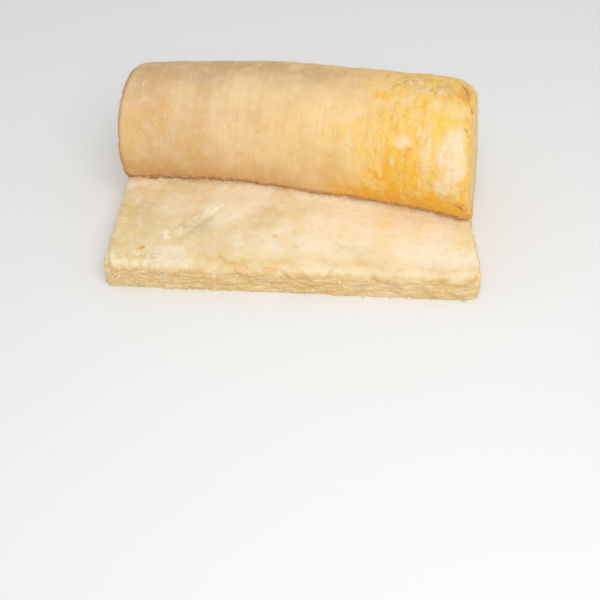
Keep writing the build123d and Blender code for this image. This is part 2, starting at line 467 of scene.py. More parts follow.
def run_mesh(roll, run):
    """The laid wool as one closed mesh: a lattice of rows back from its front edge, up and across."""
    from_left, depth = side_rows(roll.width, run.across_steps)
    side = np.where(from_left < roll.width / 2, -1.0, 1.0)
    bend = np.linspace(0, np.pi / 2, run.round_steps)
    laid = run.reach - TAIL_LENGTH
    forward = np.concatenate([
        run.front_round * (1 - np.cos(bend)) / laid,
        np.linspace(run.front_round / laid, 1, run.top_steps + 1)[1:],
    ])
    fallen = np.concatenate([run.front_round * (1 - np.sin(bend)), np.zeros(run.top_steps)])
    tail = np.linspace(0, 1, run.tail_steps + 1)[1:]
    forward = np.concatenate([forward, np.ones(run.tail_steps)])
    fallen = np.concatenate([fallen, np.zeros(run.tail_steps)])
    under = np.concatenate([np.zeros(len(forward) - run.tail_steps), tail])
    part = np.linspace(0, 1, run.face_steps + 1)

    def lattice(i, j, k):
        """Points and what is known of them, for rows back, up and across that broadcast together."""
        i, j, k = np.broadcast_arrays(i, j, k)
        seam = run.side_round + (roll.seam_depth - run.side_round) * under[i]
        lip = run.side_round + (roll.seam_lip - run.side_round) * under[i]
        sunk = seam * round_over((1 - part[j]) * run.thickness, lip) / lip
        deep = given_way(depth[k], sunk)
        section = Section(roll, side[k] * (1 - 2 * deep / roll.width))
        reach = section.crease_reach(run.thickness)
        size, middle = section.circle(0, 180.0)
        top = run.thickness + 4 * run.crown * forward[i] * (1 - forward[i]) - fallen[i]
        back = reach * (under[i] - 1)
        top = np.where(under[i] > 0, middle - np.sqrt(size ** 2 - back ** 2), top)
        up = top * part[j]
        points = section.place(back, up)
        front = np.stack([run.shift + section.share * run.width / 2,
                          np.full(i.shape, -run.reach)], axis=-1)
        corner = round_over(depth[k], run.side_round) * np.clip(1 - forward[i] * laid / SIDE_REACH, 0, 1)
        points[..., :2] = front + (points[..., :2] - front) * (forward[i] + corner / laid)[..., None]
        facts = {
            "across": side[k] * (roll.width / 2 - deep),
            "along": laid * forward[i] + TAIL_LENGTH * under[i],
            "level": LEVELS * part[j],
        }
        return points, facts

    rows_back = np.arange(len(forward))
    rows_up = np.arange(len(part))
    rows_across = np.arange(len(depth))
    work = Patchwork()
    sides = [
        (rows_back[:, None], rows_up[None, :], 0, True),
        (rows_back[:, None], rows_up[None, :], len(depth) - 1, False),
        (0, rows_up[:, None], rows_across[None, :], True),
        (len(forward) - 1, rows_up[:, None], rows_across[None, :], False),
        (rows_back[:, None], len(part) - 1, rows_across[None, :], True),
        (rows_back[:, None], 0, rows_across[None, :], False),
    ]
    for i, j, k, turned in sides:
        points, facts = lattice(np.asarray(i), np.asarray(j), np.asarray(k))
        work.add(points, turned=turned, **facts)
    return work.welded()


def patches(spots, across, other, ragged):
    """How much of a kind of soft oval patch there is at each point, up to 1. Their edges are ragged."""
    total = np.zeros(len(across))
    for x, y, wide, high, strength in spots:
        apart = np.sqrt(((across - x) / wide) ** 2 + ((other - y) / high) ** 2)
        total = np.maximum(total, strength * (1 - smooth(0.35, 1.45, apart + ragged)))
    return total


def from_line(places, start, end):
    """How far places in a plane lie from a straight line between two of them."""
    start, end = np.array(start), np.array(end)
    way = end - start
    share = np.clip((places - start) @ way / (way @ way), 0, 1)
    return np.linalg.norm(places - start - share[:, None] * way, axis=1)


def stroke(points, start, end, reach):
    """1 on a line between two places on the floor plan, fading to 0 at a reach from it."""
    return 1 - smooth(0.2 * reach, reach, from_line(points[:, :2], start, end))


def near_lines(across, other, lines, scale):
    """1 on a line, fading to 0 beside it, times its strength. The scale makes metres of what is other."""
    places = np.stack([across, other * scale], axis=1)
    total = np.zeros(len(across))
    for line, strength in lines:
        corners = np.array(line) * (1, scale)
        for start, end in zip(corners, corners[1:]):
            apart = from_line(places, start, end)
            total = np.maximum(total, strength * np.clip(1 - apart / LINE_REACH, 0, 1))
    return total


# Soft patches of the skin: places across the roll and round it in degrees, their half sizes and strengths
CREAM_PATCHES = [
    (0.556, 150, 0.062, 30, 1.0), (0.522, 175, 0.030, 8, 0.9), (0.378, 143, 0.032, 6, 0.8),
    (0.464, 146, 0.018, 30, 0.7), (0.276, 141, 0.010, 12, 0.6), (0.350, 160, 0.013, 5, 0.6),
    (0.425, 94, 0.050, 6, 0.5), (0.495, 91, 0.026, 5, 0.7), (0.560, 109, 0.034, 9, 0.5),
    (0.275, 111, 0.020, 6, 0.6), (0.300, 86, 0.012, 4, 0.5), (0.545, 177, 0.055, 3, 0.5),
    (0.320, 128, 0.030, 6, 0.3), (0.405, 168, 0.010, 5, 0.4), (0.400, 84, 0.050, 8, 0.5),
    (0.500, 106, 0.040, 9, 0.45), (0.440, 126, 0.060, 12, 0.35), (0.370, 102, 0.050, 10, 0.35),
]
ORANGE_PATCHES = [
    (0.372, 177, 0.090, 27, 0.8), (0.490, 201, 0.130, 15, 1.0), (0.280, 205, 0.140, 14, 0.9),
    (0.444, 115, 0.009, 14, 0.7), (0.420, 135, 0.008, 10, 0.6), (0.287, 104, 0.022, 5, 0.9),
    (0.510, 95, 0.013, 6, 0.7), (0.578, 86, 0.024, 15, 0.8), (0.592, 180, 0.018, 22, 0.6),
    (0.210, 214, 0.090, 9, 0.7), (0.330, 157, 0.024, 9, 0.6), (0.403, 152, 0.014, 10, 0.8),
]
MUSTARD_PATCHES = [
    (0.518, 121, 0.044, 6, 0.9), (0.500, 132, 0.014, 8, 0.6), (0.602, 134, 0.014, 14, 1.0),
    (0.608, 152, 0.010, 18, 0.8), (0.466, 80, 0.030, 5, 0.8), (0.555, 76, 0.024, 6, 0.7),
    (0.305, 93, 0.014, 8, 0.7), (0.540, 104, 0.012, 9, 0.6), (0.480, 170, 0.014, 14, 0.5),
    (0.348, 152, 0.010, 6, 0.6), (0.330, 112, 0.026, 8, 0.4), (0.300, 71, 0.040, 5, 0.6),
    (0.395, 162, 0.014, 6, 0.6),
]
BROWN_PATCHES = [
    (0.430, 82, 0.190, 7, 0.5), (0.592, 106, 0.014, 24, 0.6), (0.470, 150, 0.010, 10, 0.4),
    (0.325, 126, 0.040, 9, 0.6), (0.585, 198, 0.022, 8, 0.7),
]
# Painted shade: amber patches that darken the skin, most at the far left end and low down.
PAINTED_SHADE_PATCHES = [
    (-0.575, 168, 0.080, 50, 1.0), (-0.330, 168, 0.060, 16, 0.7), (-0.430, 200, 0.220, 17, 0.45),
    (-0.110, 196, 0.150, 14, 0.5), (-0.450, 140, 0.050, 14, 0.4), (-0.210, 78, 0.380, 9, 0.5),
    (-0.490, 96, 0.100, 12, 0.5), (0.140, 186, 0.070, 26, 0.3), (0.000, 75, 0.020, 7, 0.8),
]
# Painted light: cream patches that lighten the skin, mostly round the middle of its front.
PAINTED_LIGHT_PATCHES = [
    (-0.150, 112, 0.140, 22, 0.6), (-0.050, 150, 0.060, 30, 0.5), (0.120, 112, 0.060, 20, 0.5),
    (-0.390, 112, 0.050, 14, 0.6), (0.205, 140, 0.030, 40, 0.6), (-0.240, 148, 0.050, 12, 0.4),
    (-0.036, 77, 0.024, 6, 1.0),
]

# Thin folds of the torn skin, amber beside them as painted shade, brown in them partly binder and partly
# painted shade; the long one at the top right is a painted shadow along the roll's edge. The places across
# the roll and round it that one joins, and its strength
CRACKS = [
    ([(0.322, 96), (0.336, 91), (0.352, 88), (0.374, 82)], 1.0),
    ([(0.250, 108), (0.270, 107), (0.288, 101)], 0.7),
    ([(0.548, 68), (0.572, 76), (0.586, 83), (0.596, 92), (0.604, 102)], 1.0),
    ([(0.566, 88), (0.580, 97)], 0.7), ([(0.458, 95), (0.465, 90), (0.478, 96)], 0.8),
    ([(0.505, 98), (0.520, 106)], 0.6), ([(0.500, 142), (0.520, 147)], 0.7),
    ([(0.460, 134), (0.461, 142)], 0.6), ([(0.588, 123), (0.602, 127)], 0.9),
    ([(0.562, 195), (0.585, 201), (0.604, 203)], 1.0), ([(0.585, 192), (0.600, 198)], 0.8),
    ([(0.367, 167), (0.378, 173)], 0.7), ([(0.388, 155), (0.412, 147)], 0.7),
    ([(0.300, 116), (0.302, 124)], 0.6), ([(0.335, 119), (0.336, 127)], 0.6),
    ([(0.470, 172), (0.484, 180)], 0.6), ([(0.352, 131), (0.353, 138)], 0.6),
]

# Folds of the laid run, amber beside them as painted shade, brown in them partly binder and partly painted
# shade: places across it and back from its front edge, or below zero down its face
FOLDS = [
    ([(-0.232, 0.050), (-0.196, 0.020), (-0.160, -0.010), (-0.142, -0.034)], 0.8),
    ([(-0.200, 0.026), (-0.138, 0.010)], 0.9), ([(-0.180, 0.004), (-0.120, -0.014)], 0.7),
    ([(-0.080, 0.012), (-0.030, 0.006), (0.000, -0.008)], 0.8),
    ([(0.020, -0.034), (0.063, -0.055), (0.125, -0.036)], 0.9), ([(0.105, -0.016), (0.132, 0.016)], 0.7),
    ([(0.262, 0.000), (0.315, -0.020), (0.356, -0.046)], 1.0), ([(0.325, -0.062), (0.350, -0.080)], 0.8),
    ([(0.428, -0.030), (0.440, -0.066)], 0.8), ([(0.500, -0.050), (0.556, -0.086)], 0.9),
    ([(-0.440, -0.020), (-0.330, -0.032)], 0.7), ([(-0.300, -0.060), (-0.190, -0.066)], 0.7),
    ([(0.560, 0.366), (0.600, 0.376)], 1.0),
]

# Soft patches of the laid run's top: places on the floor plan, their half sizes and strengths
YELLOW_PATCHES = [
    (-0.575, -0.340, 0.040, 0.130, 0.6), (-0.520, -0.500, 0.070, 0.020, 0.4),
    (0.285, -0.320, 0.050, 0.070, 0.45), (0.560, -0.330, 0.060, 0.120, 0.4),
    (0.030, -0.480, 0.300, 0.030, 0.6), (-0.560, -0.420, 0.050, 0.120, 0.5),
    (0.120, -0.360, 0.060, 0.050, 0.4), (-0.240, -0.490, 0.140, 0.026, 0.5),
    (0.350, -0.505, 0.080, 0.016, 0.5),
]
GREY_PATCHES = [
    (-0.585, -0.350, 0.030, 0.120, 0.6), (-0.450, -0.490, 0.050, 0.020, 0.4),
    (-0.319, -0.342, 0.060, 0.040, 0.8), (-0.525, -0.305, 0.060, 0.070, 0.7),
    (-0.110, -0.300, 0.050, 0.060, 0.4), (0.060, -0.250, 0.060, 0.030, 0.4),
    (0.200, -0.440, 0.080, 0.030, 0.4), (0.380, -0.290, 0.040, 0.030, 0.4),
]
PALE_PATCHES = [
    (0.440, -0.460, 0.070, 0.045, 0.9), (-0.130, -0.205, 0.040, 0.035, 0.8),
    (0.470, -0.360, 0.060, 0.040, 0.6), (0.100, -0.340, 0.060, 0.040, 0.5),
    (-0.080, -0.465, 0.060, 0.020, 0.7), (0.330, -0.420, 0.035, 0.060, 0.6),
    (-0.410, -0.250, 0.040, 0.060, 0.4),
]

# Specks of binder on the laid run's top: places on the floor plan and strengths
SPECKS = [
    (-0.497, -0.455, 1.0), (-0.075, -0.385, 0.6), (-0.061, -0.395, 0.4), (-0.532, -0.300, 0.3),
    (-0.520, -0.380, 0.3), (-0.482, -0.190, 0.3), (-0.245, -0.240, 0.3), (0.262, -0.300, 0.3),
    (0.395, -0.330, 0.3), (0.150, -0.425, 0.3),
]

# Where the roll sags or swells: places across it and round it, their half sizes, and by how much
SAGS = [
    (0.09, 220, 0.09, 16, 0.009), (0.60, 222, 0.09, 20, 0.008), (0.17, 88, 0.09, 30, -0.009),
    (0.46, 88, 0.07, 30, 0.006), (-0.08, 84, 0.14, 24, 0.004), (-0.22, 214, 0.08, 14, -0.004),
]


def dress_roll(points, normals, facts):
    """Works out where the skin is torn and coloured, and how far the wool stands in or out."""
    across, angle, skin = facts["across"], facts["angle"], facts["skin"]
    lay = np.stack([across, facts["along"], facts["level"]], axis=1)
    coarse, fine, ribbing = Noise(11), Noise(23), Noise(37)
    ragged = coarse.layers(points / 0.07, 4)
    frayed = fine.layers(lay * (34, 17, 17), 3)
    torn_from = 0.330 - 0.0011 * np.clip(angle - 70, 0, 170)
    torn = skin * smooth(-1.2, 1.2, (across - torn_from) / 0.070 + 1.0 * ragged + 1.3 * frayed)
    torn = torn * smooth(30, 75, angle + 18 * ragged + 10 * frayed)
    facts["torn"] = torn
    facts["cream"] = torn * patches(CREAM_PATCHES, across, angle, 0.28 * ragged + 0.18 * frayed)
    facts["orange"] = patches(ORANGE_PATCHES, across, angle, 0.30 * ragged + 0.25 * frayed)
    facts["mustard"] = torn * patches(MUSTARD_PATCHES, across, angle, 0.30 * ragged + 0.30 * frayed)
    wander = 0.005 * fine.layers(lay / 0.020 + 2, 2)
    # Where the cracks lie: the material paints shade in and beside them.
    facts["crack"] = torn * near_lines(across + wander, angle + wander / DEGREE, CRACKS, DEGREE)
    facts["brown"] = torn * patches(BROWN_PATCHES, across, angle, 0.6 * ragged)
    # Painted shade in amber patches.
    facts["warm"] = skin * patches(PAINTED_SHADE_PATCHES, across, angle, 0.5 * ragged)
    # Painted light in cream patches.
    facts["bright"] = skin * patches(PAINTED_LIGHT_PATCHES, across, angle, 0.5 * ragged)
    facts["low"] = skin * smooth(150, 222, angle + 8 * ragged)
    stained = ribbing.layers(lay * (15, 3, 3) + 3, 2)
    # Where the skin runs into the crease: painted shade there in amber and brown, and frayed relief.
    facts["crease"] = skin * smooth(210, 221, angle + 3 * ragged + 3 * frayed + 6 * stained)
    # Painted shade along the top of the skin, at the left and in the middle.
    facts["top"] = skin * swell(angle, 87, 23) * (1 - smooth(0.0, 0.3, across))
    # Painted shade along the top of the torn skin.
    facts["dusty"] = torn * swell(angle, 80, 16)
    # The skin's edges at both ends: painted light at the right, painted shade at the left, and fraying.
    facts["rim"] = skin * smooth(0.588, 0.604, np.abs(across) + 0.004 * frayed)
    # Painted light: gold and white over the upper part of the right end face.
    facts["golden"] = (1 - skin) * smooth(0.30, 0.55, across) * smooth(0.09, 0.24, points[:, 2])

    relief = 0.0036 * coarse.layers(points / 0.24 + 3, 2)
    for x, y, wide, high, height in SAGS:
        relief += height * swell(across, x, wide) * swell(angle, y, high)
    relief += 0.0012 * fine.layers(points / 0.05, 3)
    ribs = ribbing.layers(lay * (46, 1.8, 12), 2) + 0.5 * ribbing.lumps(lay * (150, 4, 30) + 7)
    relief += 0.0004 * ribs * skin * (1 - 0.7 * torn)
    rough = 0.0034 * fine.layers(lay * (36, 26, 26) + 5, 3) + 0.0010 * fine.ridges(points / 0.019, 2)
    relief += torn * (rough + 0.0030 * facts["cream"] - 0.0016 * facts["orange"])
    relief -= 0.0035 * facts["crack"] ** 2
    relief += 0.0022 * fine.layers(points / 0.014 + 9, 1) * np.maximum(facts["rim"], facts["crease"])
    relief += 0.0036 * skin * fine.layers(points / 0.024 + 5, 2) * swell(angle, 219, 13)
    strata = 0.0014 * ribbing.layers(lay * (18, 14, 190), 2) + 0.0013 * fine.ridges(points / 0.018 + 2, 2)
    relief += (1 - skin) * strata
    return relief * smooth(FLOOR, FLOOR + 18, angle)


def dress_run(points, normals, facts):
    """Works out where the laid wool is cut, and how far its fleece puffs up and its strata stand out."""
    across, along, level = facts["across"], facts["along"], facts["level"]
    lay = np.stack([across, along, level], axis=1)
    coarse, fine, layered = Noise(5), Noise(17), Noise(29)
    ragged = coarse.layers(points / 0.06, 4)
    frayed = fine.layers(points / 0.022, 3)
    brink = (1 - smooth(0.02, 0.09, along + 0.02 * ragged)) * smooth(-0.42, -0.25, across + 0.05 * ragged)
    cut = 1 - smooth(0.30, 0.92, normals[:, 2] + 0.12 * ragged)
    facts["cut"] = np.maximum(cut, 0.55 * brink)
    stained = layered.layers(lay * (17, 5, 5) + 2, 2)
    # Where the top runs under the roll: painted shade there in amber and brown.
    facts["crease"] = smooth(0.362, 0.388, along + 0.005 * ragged + 0.005 * frayed + 0.008 * stained) \
        * smooth(0.088, 0.098, level)
    tear = stroke(points, (-0.395, -0.385), (-0.275, -0.245), 0.020)
    tear = tear * smooth(-0.5, 0.5, ragged + frayed)
    fluff = stroke(points, (-0.430, -0.372), (-0.420, -0.405), 0.020) * smooth(-0.8, 0.2, frayed)
    clouds = smooth(0.0, 0.9, coarse.layers(points / 0.13 + 8, 3) + 0.35 * (across + 0.1))
    near_front = 1 - smooth(0.03, 0.075, along + 0.02 * ragged)
    clumps = near_front * (1 - smooth(-0.42, -0.28, across + 0.05 * ragged)) * smooth(-0.3, 0.4, frayed)
    plan = points[:, 0], points[:, 1]
    pale = patches(PALE_PATCHES, *plan, 0.5 * ragged)
    facts["fluff"] = np.clip(0.6 * clouds + 0.6 * tear + fluff + 0.8 * clumps + 0.8 * pale, 0, 1)
    facts["yellow"] = (1 - cut) * patches(YELLOW_PATCHES, *plan, 0.6 * ragged)
    facts["grey"] = (1 - cut) * patches(GREY_PATCHES, *plan, 0.6 * ragged)
    strewn = points + 0.005 * np.stack([frayed, ragged, 0 * ragged], axis=1)
    specks = [strength * stroke(strewn, (x, y), (x + 0.006, y + 0.003), 0.013)
              for x, y, strength in SPECKS]
    facts["speck"] = np.max(specks, axis=0) * (1 - cut)

    relief = 0.0044 * coarse.layers(points / 0.20 + 1, 2) + 0.0011 * fine.layers(points / 0.06, 3)
    relief += 0.0004 * fine.ridges(points / 0.019, 2)
    puffed = 0.010 + 0.002 * ragged + 0.006 * swell(across, -0.20, 0.09)
    relief += (1 - cut) * (puffed + 0.004 * frayed) * smooth(0.32, 0.39, along)
    relief += (1 - cut) * (0.0030 * tear + 0.0060 * fluff + 0.0030 * clumps)
    relief -= (1 - cut) * 0.0030 * stroke(points, (-0.380, -0.402), (-0.255, -0.258), 0.014)
    strata = 0.0026 * layered.layers(lay * (6, 8, 90), 2)
    strata += 0.0018 * layered.layers(lay * (22, 22, 260) + 4, 2)
    strata += 0.0036 * fine.layers(points / 0.035 + 6, 3) + 0.0016 * fine.ridges(points / 0.016, 2)
    relief += cut * strata
    wander = 0.006 * fine.layers(lay / 0.025 + 2, 2)
    back = np.where(along > 0.001, along, level - LEVELS)
    # Where the folds lie: the material paints shade in and beside them.
    facts["fold"] = near_lines(across + wander, back + wander, FOLDS, 1.0)
    relief -= 0.0030 * smooth(0.0, 1.0, facts["fold"])
    return relief * (1 - smooth(0.46, LAID_LENGTH, along))


def add_dressed(name, mesh, dress, material):
    """Adds a piece from a closed mesh, pushed in and out by its relief, and never below the floor."""
    points, facts, faces = mesh
    normals = point_normals(points, faces)
    relief = dress(points, normals, facts)
    points = points + normals * relief[:, None]
    points[:, 2] = np.maximum(points[:, 2], 0.0)
    piece = make_piece(name, points, faces, facts, material)
    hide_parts(CAD_NODE)


class Paint:
    """The nodes of one material, wired up as they are named. A string stands for the fact of that name."""

    def __init__(self, name, roughness, colours=None):
        self.colours = colours
        self.material = bpy.data.materials.new(name)
        self.material.use_nodes = True
        self.tree = self.material.node_tree
        self.tree.nodes.clear()
        self.shader = self.node("ShaderNodeBsdfPrincipled", {
            "Roughness": roughness,
            "Specular IOR Level": 0.12,
            "Sheen Weight": 0.03,
            "Sheen Roughness": 0.6,
        })
        self.node("ShaderNodeOutputMaterial", {"Surface": self.shader.outputs[0]})

    def node(self, kind, inputs, **settings):
        """A new node of a kind, with its settings and what goes into its inputs."""
        made = self.tree.nodes.new(kind)
        for name, value in settings.items():
            setattr(made, name, value)
        for place, value in inputs.items():
            self.plug(made.inputs[place], value)
        return made

    def plug(self, socket, value):
        """Puts a socket, a fact, a number or a colour into a socket."""
        if isinstance(value, str):
            value = self.node("ShaderNodeAttribute", {}, attribute_name=value).outputs["Fac"]
        if isinstance(value, bpy.types.NodeSocket):
            self.tree.links.new(value, socket)
        elif hasattr(value, "__len__"):
            socket.default_value = tuple(value) + (1.0,) * (len(socket.default_value) - len(value))
        else:
            socket.default_value = value

    def scaled(self, vector, scale):
        return self.node("ShaderNodeVectorMath", {0: vector, 1: scale}, operation="MULTIPLY").outputs[0]

    def lay(self, scale, spin=0.0):
        """Coordinates in the unrolled blanket, scaled across it, along it and through it."""
        vector = self.node("ShaderNodeCombineXYZ", {0: "across", 1: "along", 2: "level"}).outputs[0]
        if spin:
            inputs = {"Vector": vector, "Angle": math.radians(spin)}
            vector = self.node("ShaderNodeVectorRotate", inputs, rotation_type="Z_AXIS").outputs[0]
        return self.scaled(vector, scale)

    def place(self, scale):
        """Coordinates in space."""
        return self.scaled(self.node("ShaderNodeTexCoord", {}).outputs["Object"], (scale, scale, scale))

    def noise(self, vector, detail, roughness, distortion=0.0):
        return self.node("ShaderNodeTexNoise", {
            "Vector": vector,
            "Scale": 1.0,
            "Detail": detail,
            "Roughness": roughness,
            "Distortion": distortion,
        }).outputs["Fac"]

    def span(self, value, low, high, to_low=0.0, to_high=1.0):
        """A value between low and high, spread smoothly over another range."""
        inputs = {0: value, 1: low, 2: high, 3: to_low, 4: to_high}
        return self.node("ShaderNodeMapRange", inputs, interpolation_type="SMOOTHSTEP").outputs[0]

    def reckon(self, operation, first, second=0.0):
        return self.node("ShaderNodeMath", {0: first, 1: second}, operation=operation).outputs[0]

    def times(self, first, second):
        return self.reckon("MULTIPLY", first, second)

    def plus(self, first, second):
        return self.reckon("ADD", first, second)

    def mix(self, share, first, second):
        return self.node("ShaderNodeMix", {0: share, 6: first, 7: second}, data_type="RGBA").outputs[2]

    def coats(self, base, coats):
        """A colour under coats of others: each a colour, a value, two limits or none, and a strength.

        Between its limits a value rises smoothly to the strength. Without them it is multiplied by it.
        """
        for colour, value, *limits, strength in coats:
            if limits:
                share = self.span(value, *limits, 0.0, strength)
            else:
                share = self.times(value, strength)
            base = self.mix(share, base, getattr(self.colours, colour))
        return base

    def fibres(self, size):
        """Crossing strands of a size: the brightest of three noises, each stretched its own way."""
        strands = 0.0
        for spin in (8, 66, 121):
            noise = self.noise(self.lay((0.12 / size, 1.0 / size, 1.0 / size), spin), 2.0, 0.5, 0.6)
            strands = self.reckon("MAXIMUM", strands, noise)
        return strands

    def finish(self, colour, heights=()):
        """The material in a colour, with fine relief from pairs of a height and how far it stands out."""
        self.plug(self.shader.inputs["Base Color"], colour)
        relief = {}
        for height, distance in heights:
            inputs = {"Strength": 1.0, "Distance": distance, "Height": height}
            relief = {"Normal": self.node("ShaderNodeBump", inputs | relief).outputs[0]}
        if relief:
            self.plug(self.shader.inputs["Normal"], relief["Normal"])
        return self.material


def cut_wool(paint):
    """Where the blanket is cut through: straw coloured strata with pale clumps and dull strands."""
    strata = paint.noise(paint.lay((14, 16, 150)), 5.0, 0.62, 0.5)
    clumps = paint.noise(paint.place(45), 4.0, 0.6, 0.6)
    cut = paint.mix(paint.span(strata, 0.38, 0.68), paint.colours.straw, paint.colours.butter)
    cut = paint.coats(cut, [
        ("white", clumps, 0.58, 0.76, 0.50),
        ("olive", strata, 0.42, 0.27, 0.45),
        ("amber", clumps, 0.44, 0.30, 0.40),
    ])
    return cut, strata


def rolled_wool(colours):
    """The roll: a skin tanned by binder, with faint ribs round it, torn open at the right."""
    paint = Paint("rolled_wool", 0.85, colours)
    ribs = paint.noise(paint.lay((90, 2.2, 20)), 3.0, 0.6)
    wide = paint.noise(paint.lay((15, 1.6, 10)), 3.0, 0.55)
    clouds = paint.noise(paint.place(8), 4.0, 0.6)
    mottle = paint.noise(paint.place(34), 4.0, 0.6, 0.4)
    grain = paint.noise(paint.place(170), 4.0, 0.65)
    flecks = paint.noise(paint.lay((105, 20, 40)), 1.0, 0.4)
    strands = paint.fibres(0.0030)
    strong = paint.span(clouds, 0.35, 0.62, 0.08, 0.25)
    skin = paint.mix(paint.span("across", -0.42, 0.26), colours.tan, colours.honey)
    skin = paint.coats(skin, [
        ("amber", "low", 0.26),
        # Painted shade in amber patches, laid on again further down.
        ("amber", "warm", 0.80),
        # Painted shade along the top.
        ("dull", "top", 0.84),
        # Painted light in cream patches.
        ("cream", "bright", 0.60),
        ("cream", clouds, 0.44, 0.66, 0.40),
        ("amber", clouds, 0.48, 0.32, 0.30),
        ("amber", wide, 0.48, 0.30, 0.38),
        ("cream", wide, 0.54, 0.72, 0.35),
        ("cream", ribs, 0.52, 0.72, strong),
        ("amber", ribs, 0.48, 0.30, strong),
        ("cream", mottle, 0.50, 0.72, 0.30),
        ("amber", mottle, 0.48, 0.30, 0.25),
        # More painted shade in the same amber patches.
        ("amber", "warm", 0.35),
        ("white", flecks, 0.67, 0.74, paint.span(mottle, 0.46, 0.60, 0.0, 0.45)),
        ("gold", "orange", 0.80),
        ("orange", "orange", 0.40),
    ])

    blotches = paint.noise(paint.lay((34, 24, 24)), 3.0, 0.6, 0.8)
    streaks = paint.noise(paint.lay((62, 10, 20)), 3.0, 0.55, 0.8)
    spots = paint.noise(paint.lay((85, 60, 60)), 3.0, 0.6, 0.9)
    crumbs = paint.noise(paint.lay((130, 95, 95)), 2.0, 0.5, 0.5)
    binder = paint.plus(paint.times("orange", 0.95), paint.span(blotches, 0.36, 0.64, -0.20, 0.26))
    binder = paint.plus(binder, paint.span(spots, 0.35, 0.65, -0.12, 0.14))
    fresh = paint.plus(paint.times("cream", 1.15), paint.span(spots, 0.42, 0.70, -0.14, 0.20))
    fresh = paint.plus(fresh, paint.span(blotches, 0.60, 0.38, -0.16, 0.20))
    vein = paint.reckon("ABSOLUTE", paint.reckon("SUBTRACT", streaks, 0.5))
    vein = paint.times(paint.span(vein, 0.022, 0.006), paint.span(mottle, 0.40, 0.56))
    torn = paint.mix(paint.span(binder, -0.1, 1.0), colours.gold, colours.orange)
    torn = paint.coats(torn, [
        ("mustard", streaks, 0.54, 0.70, 0.35),
        ("cream", streaks, 0.46, 0.32, 0.35),
        ("cream", fresh, 0.0, 1.1, 0.95),
        ("white", fresh, 0.85, 1.45, 0.45),
        ("mustard", "mustard", 0.75),
        # Painted shade along the top of the torn skin, in blotches.
        ("dull", "dusty", paint.span(blotches, 0.40, 0.58, 0.05, 0.38)),
        ("brown", paint.times(vein, paint.plus("brown", 0.04)), 0.80),
        ("brown", crumbs, 0.64, 0.74, paint.span(mottle, 0.42, 0.60, 0.05, 0.45)),
    ])
    # Painted light in gold on the right end's rim, painted shade in brown on the left end's rim.
    skin = paint.coats(paint.mix("torn", skin, torn), [
        ("gold", "rim", paint.span("across", -0.2, 0.2, 0.0, 0.5)),
        ("brown", "rim", paint.span("across", 0.2, -0.2, 0.0, 0.5)),
    ])

    cut, _ = cut_wool(paint)
    cut = paint.coats(cut, [
        # Painted light on the right end face.
        ("gold", "golden", 0.60),
        ("white", "golden", 0.20),
        # Painted shade in the seams between the turns and in the bore.
        ("brown", "seam", 0.25, 1.0, 0.70),
    ])
    crack = paint.plus("crack", paint.span(mottle, 0.35, 0.65, -0.20, 0.15))
    wool = paint.coats(paint.mix("skin", cut, skin), [
        ("white", grain, 0.45, 0.70, 0.12),
        ("white", strands, 0.64, 0.80, 0.18),
        ("white", "loose", 0.60),
        # Painted shade in the crease, in amber and brown.
        ("amber", "crease", 0.50),
        ("brown", "crease", 0.40),
        # Amber beside the cracks is painted shade; the brown in them is partly binder and partly painted
        # shade.
        ("amber", crack, 0.05, 0.60, 0.30),
        ("brown", crack, 0.50, 0.85, 0.68),
    ])
    lumpy = paint.times(paint.plus(blotches, paint.times(spots, 0.6)), "torn")
    return paint.finish(wool, [(ribs, 0.0008), (strands, 0.0012), (grain, 0.0010), (lumpy, 0.0035)])


def laid_wool(colours):
    """The laid run: a pale fleece in soft clouds on top, straw coloured strata where it is cut."""
    paint = Paint("laid_wool", 0.9, colours)
    clouds = paint.noise(paint.place(6), 3.0, 0.5)
    wisps = paint.noise(paint.place(20), 4.0, 0.6, 0.8)
    mottle = paint.noise(paint.place(48), 3.0, 0.6, 0.6)
    specks = paint.noise(paint.place(60), 2.0, 0.5)
    grain = paint.noise(paint.place(160), 4.0, 0.65)
    strands = paint.fibres(0.0034)
    fleece = paint.mix(paint.span("across", -0.35, 0.25), colours.fleece, colours.butter)
    fleece = paint.coats(fleece, [
        ("white", clouds, 0.42, 0.60, 0.65),
        ("mustard", "yellow", 0.40),
        ("olive", "grey", 0.35),
        ("white", "fluff", 0.60),
        ("white", wisps, 0.50, 0.74, 0.45),
        ("straw", wisps, 0.44, 0.28, 0.25),
        ("white", mottle, 0.52, 0.70, 0.30),
        ("straw", mottle, 0.47, 0.30, 0.22),
        ("amber", specks, 0.74, 0.80, 0.40),
        ("orange", "speck", 0.90),
        ("brown", "speck", 0.35, 1.0, 0.40),
    ])

    cut, strata = cut_wool(paint)
    fold = paint.plus("fold", paint.span(wisps, 0.35, 0.65, -0.20, 0.15))
    wool = paint.coats(paint.mix("cut", fleece, cut), [
        ("white", "fluff", 0.30),
        ("white", grain, 0.45, 0.70, 0.14),
        ("white", strands, 0.64, 0.80, 0.22),
        ("white", "loose", 0.50),
        # Painted shade in the crease, in amber and brown.
        ("amber", "crease", 0.55),
        ("brown", "crease", 0.5, 1.0, 0.32),
        # Amber beside the folds is painted shade; the brown in them is partly binder and partly painted
        # shade.
        ("amber", fold, 0.00, 0.60, 0.35),
        ("brown", fold, 0.45, 1.00, 0.25),
    ])
    layers = paint.times(strata, "cut")
    return paint.finish(wool, [(layers, 0.0020), (strands, 0.0014), (grain, 0.0012), (wisps, 0.0015)])


